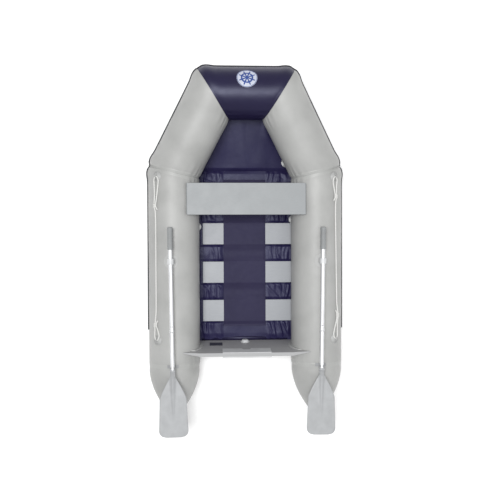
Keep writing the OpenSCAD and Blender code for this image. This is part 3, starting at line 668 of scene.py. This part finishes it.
def build_bow_floor():
    """The sloping panel narrows forward, and gathers where it meets the nose tube."""
    low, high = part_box("bow_floor_fabric")
    slope = math.atan2(CORNER.z - BEND.z, CORNER.y - BEND.y)
    aft_half = high.x
    fore_half = CORNER.x - 0.5 * TUBE_R + 0.03
    run = (high.y - low.y) / math.cos(slope)
    columns, rows = 110, 90

    def bow_place(across, along):
        half = aft_half + (fore_half - aft_half) * along
        x = -half + 2 * half * across
        y = low.y + run * along * math.cos(slope)
        rim = max(0.0, min(1.0, (1 - abs(2 * across - 1)) / 0.08, along / 0.04, (1 - along) / 0.05))
        pleats = abs(noise.noise(Vector((x * 60, y * 5, 15.0))))
        gathers = 0.004 * math.exp(-((1 - along) / 0.12) ** 2) * pleats
        folds = 0.004 * creases(x, y, 7, 2, 11.0) + gathers
        swell = 0.009 * (1 + noise.noise(Vector((x * 5, y * 3, 9.0))))
        base = low.z + 0.0015 + run * along * math.sin(slope)
        return Vector((x, y, base + rim * (folds + swell)))

    points = sheet_grid(columns, rows, bow_place)
    bow = add_mesh("bow_floor_sheet", points, grid_faces(rows, columns), "floor_skin")
    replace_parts(bow, "bow_floor_fabric")


def build_sleeve():
    """The sleeve lies on the slats and sags between them."""
    low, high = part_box("slat_sleeve")
    slats = slat_boxes()
    columns, rows = 90, 300
    deepest = 0.010

    def sag(y):
        nearest = min(max(a.y - y, y - b.y, 0.0) for a, b in slats)
        ends = min(y - low.y, high.y - y)
        hang = math.sin(min(1.0, nearest / 0.06) * math.pi / 2)
        return deepest * hang * min(1.0, max(0.0, ends) / 0.02 + 0.4)

    def place(across, along):
        x = low.x + (high.x - low.x) * across
        y = low.y + (high.y - low.y) * along
        loose = 0.35 + 0.65 * min(1.0, sag(y) / 0.006)
        swell = 0.0016 * (1 + noise.noise(Vector((x * 7, y * 5, 25.0))))
        folds = 0.0014 * creases(y, x, 9, 3, 21.0) + swell
        rim = min(1.0, (0.5 - abs(across - 0.5)) / 0.05)
        return Vector((x, y, high.z - sag(y) + loose * rim * folds))

    points = sheet_grid(columns, rows, place)
    sleeve = add_mesh("sleeve_sheet", points, grid_faces(rows, columns), "sleeve_skin")
    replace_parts(sleeve, "slat_sleeve")
    for slat in SLATS:
        dress(slat, "slat", 0.005)
    dress("floor_seam_strip", "nose_skin")


# ---------- Lifelines ----------

ROPE_ANGLE = math.radians(37)      # outboard of the tube's top
ROPE_R = 0.0045
ROPE_STEP = 0.0035
KNOT_ROPE_R = 0.0040
KNOT_TURNS, KNOT_LENGTH = 2.6, 0.022
# Each place is (along the tube from the transom's foot, outboard of ROPE_ANGLE, over the skin):
# knots in metres, routes in millimetres.
KNOT_PLACES = {"port": [(0.953, 0.008, 0.012), (0.153, 0.008, 0.012)],
               "starboard": [(1.014, 0.003, 0.012), (0.208, 0.017, 0.012)]}
ROUTES = {
    "port": [
        (925, -8, 6), (953, 2, 12), (990, -2, 9), (1040, -8, 7), (1090, -15, 7), (1118, -18, 8),
        (1136, -14, 9.5), (1146, -7, 10), (1149, 0, 10), (1146, 7, 10), (1136, 14, 9.5), (1118, 18, 8),
        (1090, 17, 7), (1040, 14, 7), (990, 14, 9), (953, 13, 12), (915, 9, 7), (860, 8, 5),
        (760, 7, 5), (650, 7, 5), (540, 7, 5), (430, 7, 5), (320, 7, 5), (240, 8, 5), (190, 10, 8),
        (153, 13, 12), (120, 15, 9), (84, 18, 8), (62, 14, 9.5), (52, 7, 10), (49, 0, 10), (52, -7, 10),
        (62, -14, 9.5), (84, -18, 8), (120, -8, 9), (153, 2, 12), (182, -6, 6)],
    "starboard": [
        (985, -12, 6), (1014, -3, 12), (1045, -6, 9), (1080, -12, 7), (1105, -17, 7), (1122, -18, 8),
        (1137, -14, 9.5), (1146, -7, 10), (1149, 0, 10), (1146, 7, 10), (1137, 14, 9.5), (1122, 18, 8),
        (1105, 17, 7), (1080, 14, 7), (1045, 10, 9), (1014, 8, 12), (975, 5, 7), (920, 5, 5),
        (820, 6, 5), (710, 8, 5), (600, 10, 5), (490, 12, 5), (380, 14, 5), (300, 16, 5), (250, 19, 8),
        (208, 22, 12), (165, 20, 9), (120, 19, 7), (84, 18, 8), (62, 14, 9.5), (52, 7, 10), (49, 0, 10),
        (52, -7, 10), (62, -14, 9.5), (84, -16, 8), (120, -6, 7), (165, 7, 9), (208, 11, 12), (240, 5, 6)],
}


def rope_place(along, outboard, height):
    return SIDE.point(along, ROPE_ANGLE + outboard / TUBE_R, height)


def smooth_path(points, step):
    """Points a step apart along a smooth curve through the given ones."""
    path = []
    last = len(points) - 1
    for i in range(last):
        a, b = points[max(i - 1, 0)], points[i]
        c, d = points[i + 1], points[min(i + 2, last)]
        count = max(2, round((c - b).length / step))
        for k in range(count):
            t = k / count
            path.append(0.5 * (2 * b + (c - a) * t + (2 * a - 5 * b + 4 * c - d) * t * t
                               + (3 * b - a - 3 * c + d) * t ** 3))
    path.append(points[-1])
    return path


def tube_along(path, radius_at, around):
    """Points of rows round a path; radius_at(distance, angle) gives the section."""
    points, travelled = [], 0.0
    normal = Vector((0, 0, 1))
    for i, spot in enumerate(path):
        heading = (path[min(i + 1, len(path) - 1)] - path[max(i - 1, 0)]).normalized()
        normal = (normal - heading * normal.dot(heading)).normalized()
        binormal = heading.cross(normal)
        travelled += (spot - path[i - 1]).length if i else 0.0
        for k in range(around):
            angle = math.tau * k / around
            outward = math.cos(angle) * normal + math.sin(angle) * binormal
            points.append(spot + radius_at(travelled, angle) * outward)
    return points


def laid(travelled, angle, radius):
    """The section of a three-strand rope, which turns along its length."""
    pitch = 0.028
    lobe = abs(math.cos(1.5 * (angle - math.tau * travelled / pitch)))
    return radius * (0.80 + 0.20 * lobe ** 0.6)


def capped(faces, rows, around):
    return faces + [tuple(range(around)), tuple(reversed(range((rows - 1) * around, rows * around)))]


def rope_piece(name, path, radius=ROPE_R, around=18):
    points = tube_along(path, lambda s, a: laid(s, a, radius), around)
    faces = capped(oriented(grid_faces(len(path), around, True), -1), len(path), around)
    return add_mesh(name, points, faces, "rope")


def knot_piece(name, side, place):
    """Turns of the rope's end round both strands."""
    along, outboard, height = place
    centre = rope_place(along, outboard, height)
    heading = SIDE.along
    normal = SIDE.radial(ROPE_ANGLE + outboard / TUBE_R)
    across = heading.cross(normal)
    wide, high = 0.0105, 0.0062
    steps = 64
    path = []
    for i in range(steps + 1):
        angle = math.tau * KNOT_TURNS * i / steps
        shift = KNOT_LENGTH * (i / steps - 0.5)
        turn = wide * math.cos(angle) * across + high * math.sin(angle) * normal
        path.append(centre + heading * shift + turn)
    return rope_piece(name, mirrored(path, side), KNOT_ROPE_R, 14)


def build_lifelines():
    for word, side in SIDES.items():
        route = [rope_place(a / 1000, o / 1000, h / 1000) for a, o, h in ROUTES[word]]
        path = mirrored(smooth_path(route, ROPE_STEP), side)
        rope = rope_piece(f"{word}_lifeline_rope", path)
        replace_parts(rope, f"{word}_lifeline")
        knots = [knot_piece(f"{word}_knot_{i}", side, p) for i, p in enumerate(KNOT_PLACES[word])]
    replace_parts(knots[0], "lifeline_knots")
    dress("lifeline_patches", "fitting")


build_lifelines()
build_tubes()
build_strake()
build_floor()
build_bow_floor()
build_sleeve()

# ---------- Emblem: a plain ship's wheel ----------


def build_emblem():
    low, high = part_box("bow_emblem")
    mid = (low + high) / 2
    disc_r = (high.x - low.x) / 2
    lever = mid - Vector((mid.x, NOSE.origin.y, NOSE.origin.z))
    centre_angle = math.atan2(lever.dot(NOSE.out), lever.dot(NOSE.up))
    nose_mid = NOSE_WIDTH / 2

    def place(x, y, height):
        return NOSE.point(nose_mid - x, centre_angle + y / TUBE_R, height)

    def ring(name, inner, outer, height, look, steps=96):
        rows = 6
        points = []
        for i in range(rows):
            radius = inner + (outer - inner) * i / (rows - 1)
            edge = i == rows - 1 or (i == 0 and inner > 0)
            drop = 0.0008 if edge else 0.0
            for k in range(steps):
                angle = math.tau * k / steps
                points.append(place(radius * math.cos(angle), radius * math.sin(angle), height - drop))
        return add_mesh(name, points, oriented(grid_faces(rows, steps, True), -1), look)

    def spoke(name, angle):
        ux, uy = math.cos(angle), math.sin(angle)
        start, stop, width, height = disc_r * 0.12, disc_r * 0.82, disc_r * 0.10, 0.0024
        rows = 8
        points = []
        for i in range(rows):
            share = i / (rows - 1)
            radius = start + (stop - start) * share
            half = width / 2 * (1 + 0.5 * math.sin(math.pi * share))
            for k in (-1, -0.5, 0.5, 1):
                drop = 0.0006 if abs(k) == 1 else 0.0
                points.append(place(radius * ux - k * half * uy, radius * uy + k * half * ux, height - drop))
        add_mesh(name, points, oriented(grid_faces(rows, 4), -1), "emblem_blue")

    disc = ring("emblem_disc", 0.0, disc_r, 0.0018, "emblem")
    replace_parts(disc, "bow_emblem")
    ring("emblem_border", disc_r * 0.93, disc_r * 0.975, 0.0026, "emblem_blue")
    ring("emblem_wheel_rim", disc_r * 0.44, disc_r * 0.60, 0.0026, "emblem_blue")
    ring("emblem_wheel_hub", 0.0, disc_r * 0.18, 0.0027, "emblem_blue")
    for n in range(8):
        spoke(f"emblem_spoke_{n}", math.tau * (n + 0.5) / 8)


build_emblem()

# ---------- Transom, seat and fittings ----------


def build_transom():
    dress("transom_board", "transom", 0.004)
    dress("inner_motor_pad", "motor_pad", 0.0015)
    dress("outer_motor_pad", "motor_pad", 0.003)
    dress("transom_holders", "fitting", 0.0015)
    dress("blank_plate", "plate", 0.0005)
    dress("drain_body", "valve", 0.0015)
    dress("drain_cap", "valve", 0.0015)


def build_seat():
    dress("seat_board", "seat", 0.006)
    dress("seat_holders", "fitting", 0.003)


def build_valves():
    dress("valve_bodies", "fitting", 0.001)
    for word in ("port", "starboard", "bow"):
        dress(f"{word}_valve_cap", "valve", 0.0012)
        dress(f"{word}_valve_poppet", "dark_plastic")


def build_tow():
    dress("tow_patch", "fitting", 0.0008)
    dress("tow_ring", "steel")


# ---------- Oars ----------

# Reaches are measured along the shaft from the rowlock.
OAR_TOE = math.radians(0.8)
GRIP_REACH = 0.228
GRIP_LENGTH = 0.150
GRIP_ROUND = 0.010
SHAFT_R = 0.014
SHAFT_WALL = 0.0014
FERRULE_R = SHAFT_R + 0.0018
JOINT_REACH = 0.470
SPIGOT_LENGTH = 0.080
SPIGOT_GAP = 0.0003
BLADE_REACH = 1.165
BLADE_LENGTH = 0.400
BLADE_WIDTH = 0.195
BLADE_FLARE = 0.009      # the blade widens by this much a side, from shoulder to tip
BLADE_CORNER = 0.046
SOCKET_R = 0.0175


def oar_place(word):
    """The oar's own frame: +Y along the shaft towards the grip, the origin over the rowlock."""
    lock = middle(f"{word}_rowlock_swivel")
    shaft = middle(f"{word}_oar_grip")
    side = SIDES[word]
    return Matrix.Translation((lock.x, lock.y, shaft.z)) @ Matrix.Rotation(-side * OAR_TOE, 4, "Z")


def build_grip(word):
    """A soft sleeve with finger grooves and a rounded end."""
    low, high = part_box(f"{word}_oar_grip")
    radius = (high.z - low.z) / 2
    start = GRIP_REACH - GRIP_LENGTH
    profile = [(start, 0.0142), (start, radius - 0.003), (start + 0.002, radius - 0.0005)]
    steps = 70
    for i in range(steps + 1):
        share = i / steps
        groove = 0.0009 * (math.cos(11 * math.tau * share) - 1) * (0.15 < share < 0.92)
        profile.append((start + 0.004 + (GRIP_LENGTH - 0.014) * share, radius + groove))
    for i in range(1, 9):
        turn = math.pi / 2 * i / 8
        profile.append((GRIP_REACH - GRIP_ROUND + GRIP_ROUND * math.sin(turn),
                        radius - GRIP_ROUND + GRIP_ROUND * math.cos(turn)))
    profile.append((GRIP_REACH, TIP_R))
    grip = lathe(f"{word}_grip_sleeve", profile, oar_place(word), "grip", f"{word}_oar")
    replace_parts(grip, f"{word}_oar_grip")


def shaft_tube(name, word, body, outline):
    """A drawn tube: its outside as (distance along, radius) rows, and its bore back to the start."""
    profile = []
    for (start, radius), (stop, next_radius) in zip(outline, outline[1:]):
        steps = max(1, round(abs(stop - start) / 0.02))
        for i in range(steps):
            share = i / steps
            profile.append((start + (stop - start) * share, radius + (next_radius - radius) * share))
    profile.append(outline[-1])
    profile += [(along, radius - SHAFT_WALL) for along, radius in reversed(profile)]
    profile.append(profile[0])
    return lathe(name, profile, oar_place(word), "shaft", body, 40)


def build_shafts(word):
    """The upper shaft with its ferrule, and the lower one with the spigot that goes into it."""
    upper = shaft_tube(f"{word}_upper_tube", word, f"{word}_oar", [
        (-JOINT_REACH, FERRULE_R - 0.001), (-JOINT_REACH + 0.001, FERRULE_R),
        (-JOINT_REACH + 0.016, FERRULE_R), (-JOINT_REACH + 0.020, SHAFT_R),
        (GRIP_REACH - 0.006, SHAFT_R)])
    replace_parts(upper, f"{word}_oar_upper_shaft")
    spigot_r = SHAFT_R - SHAFT_WALL - SPIGOT_GAP
    spigot_end = SPIGOT_LENGTH - JOINT_REACH
    lower = shaft_tube(f"{word}_lower_tube", word, f"{word}_oar_lower", [
        (BLADE_LENGTH - BLADE_REACH, SHAFT_R), (-JOINT_REACH - 0.001, SHAFT_R),
        (-JOINT_REACH, SHAFT_R - 0.0006), (-JOINT_REACH + 0.0002, spigot_r),
        (spigot_end - 0.002, spigot_r), (spigot_end, spigot_r - 0.001)])
    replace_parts(lower, f"{word}_oar_lower_shaft")


def blade_half_width(share):
    """Half width of the blade from its socket (0) to its tip (1)."""
    shoulder_half = BLADE_WIDTH / 2 - BLADE_FLARE
    shoulder = 0.36
    if share < shoulder:
        rise = share / shoulder
        curve = 0.7 * rise + 0.3 * math.sin(math.pi / 2 * rise)
        return SOCKET_R + (shoulder_half - SOCKET_R) * curve
    return shoulder_half + BLADE_FLARE * min(1.0, (share - shoulder) / 0.6)


def tip_cut(share, half):
    """The rounded corners at the blade's tip."""
    corner = BLADE_CORNER / BLADE_LENGTH
    if share < 1 - corner:
        return half
    along = (share - (1 - corner)) / corner
    return half - BLADE_CORNER * (1 - math.sqrt(max(0.0, 1 - along * along)))


def build_blade(word):
    """A moulded blade: thin edges, a tapering rib from the socket, a slightly raised rim."""
    place = oar_place(word)
    start = -(BLADE_REACH - BLADE_LENGTH)
    rows, across = 90, 49
    top, bottom = [], []
    for i in range(rows):
        share = i / (rows - 1)
        half = tip_cut(share, blade_half_width(share))
        along = start - BLADE_LENGTH * share
        rib = SOCKET_R * max(0.0, 1 - share / 0.76) ** 0.9
        for k in range(across):
            side = -1 + 2 * k / (across - 1)
            x = half * math.copysign(abs(side) ** 1.15, side)
            swell = rib * math.exp(-(x / (0.0055 + 0.65 * rib)) ** 2)
            raised_rim = 0.0007 * math.exp(-((half - abs(x) - 0.007) / 0.003) ** 2)
            plate = 0.0024 * math.sqrt(max(0.0, 1 - side ** 6)) + raised_rim
            thick = max(0.0006, min(SOCKET_R, math.sqrt(swell ** 2 + plate ** 2)))
            top.append(place @ Vector((x, along, thick)))
            bottom.append(place @ Vector((x, along, -thick)))
    upper = grid_faces(rows, across)
    count = rows * across
    lower = [tuple(reversed([c + count for c in f])) for f in upper]
    border = [k for k in range(across)] + [i * across + across - 1 for i in range(1, rows)]
    border += [(rows - 1) * across + k for k in range(across - 2, -1, -1)]
    border += [i * across for i in range(rows - 2, 0, -1)]
    rim = [(a, b, b + count, a + count) for a, b in zip(border, border[1:] + border[:1])]
    faces = oriented(upper + lower, -1) + rim
    blade = add_mesh(f"{word}_blade", top + bottom, faces, "blade", f"{word}_oar_lower")
    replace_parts(blade, f"{word}_oar_blade")
    collar_r = SOCKET_R + 0.0016
    profile = [(start - 0.012, SOCKET_R - 0.004), (start - 0.006, SOCKET_R), (start + 0.034, SOCKET_R),
               (start + 0.035, collar_r), (start + 0.044, collar_r),
               (start + 0.048, SOCKET_R - 0.0006), (start + 0.048, SHAFT_R + 0.0001)]
    lathe(f"{word}_blade_socket", profile, place, "blade", f"{word}_oar_lower")


def build_oars():
    for word in SIDES:
        build_grip(word)
        build_blade(word)
        build_shafts(word)
        dress(f"{word}_oar_collar", "valve", 0.0015)
        dress(f"{word}_oar_button", "dark_plastic", 0.0006)
        dress(f"{word}_oar_clip", "clip", 0.0008)
        dress(f"{word}_rowlock_base", "fitting", 0.001)
        dress(f"{word}_rowlock_swivel", "dark_plastic", 0.0006)
    dress("rowlock_hinge_pins", "steel")


build_transom()
build_seat()
build_valves()
build_tow()
build_oars()

# ---------- Floor of the studio, and light ----------


def build_studio():
    """A lit paper table: its own glow keeps the shadows beside the tubes faint."""
    paper = Shader("studio_paper", (0.93, 0.93, 0.93), 0.9,
                   Emission_Color=(1, 1, 1, 1), Emission_Strength=0.16)
    paper.colour(paper.noise(0.8, 3.0), [(0.3, (0.92, 0.92, 0.92)), (0.7, (0.95, 0.95, 0.95))])
    mesh = bpy.data.meshes.new("studio_floor")
    reach = 14.0
    corners = [(-reach, -reach, 0), (reach, -reach, 0), (reach, reach, 0), (-reach, reach, 0)]
    mesh.from_pydata(corners, [], [(0, 1, 2, 3)])
    floor = bpy.data.objects.new("studio_floor", mesh)
    mesh.materials.append(paper.material)
    bpy.context.scene.collection.objects.link(floor)
    floor.location.z = -0.001


def add_light(name, place, aim, size, power):
    data = bpy.data.lights.new(name, "AREA")
    data.shape = "RECTANGLE"
    data.size, data.size_y = size
    data.energy = power
    light = bpy.data.objects.new(name, data)
    light.location = place
    light.rotation_euler = (Vector(aim) - Vector(place)).to_track_quat("-Z", "Y").to_euler()
    bpy.context.scene.collection.objects.link(light)


def build_light():
    world = bpy.data.worlds.new("studio")
    world.use_nodes = True
    sky = world.node_tree.nodes["Background"]
    sky.inputs["Color"].default_value = (1.0, 1.0, 1.0, 1)
    sky.inputs["Strength"].default_value = 0.46
    bpy.context.scene.world = world
    add_light("key", (-1.3, 0.4, 8.9), (0, 0, 0), (3.2, 3.2), 560)
    add_light("fill", (3.0, -0.2, 4.4), (0.4, 0, 0.3), (3.0, 5.0), 45)
    bpy.context.scene.view_settings.view_transform = "Standard"


build_studio()
build_light()
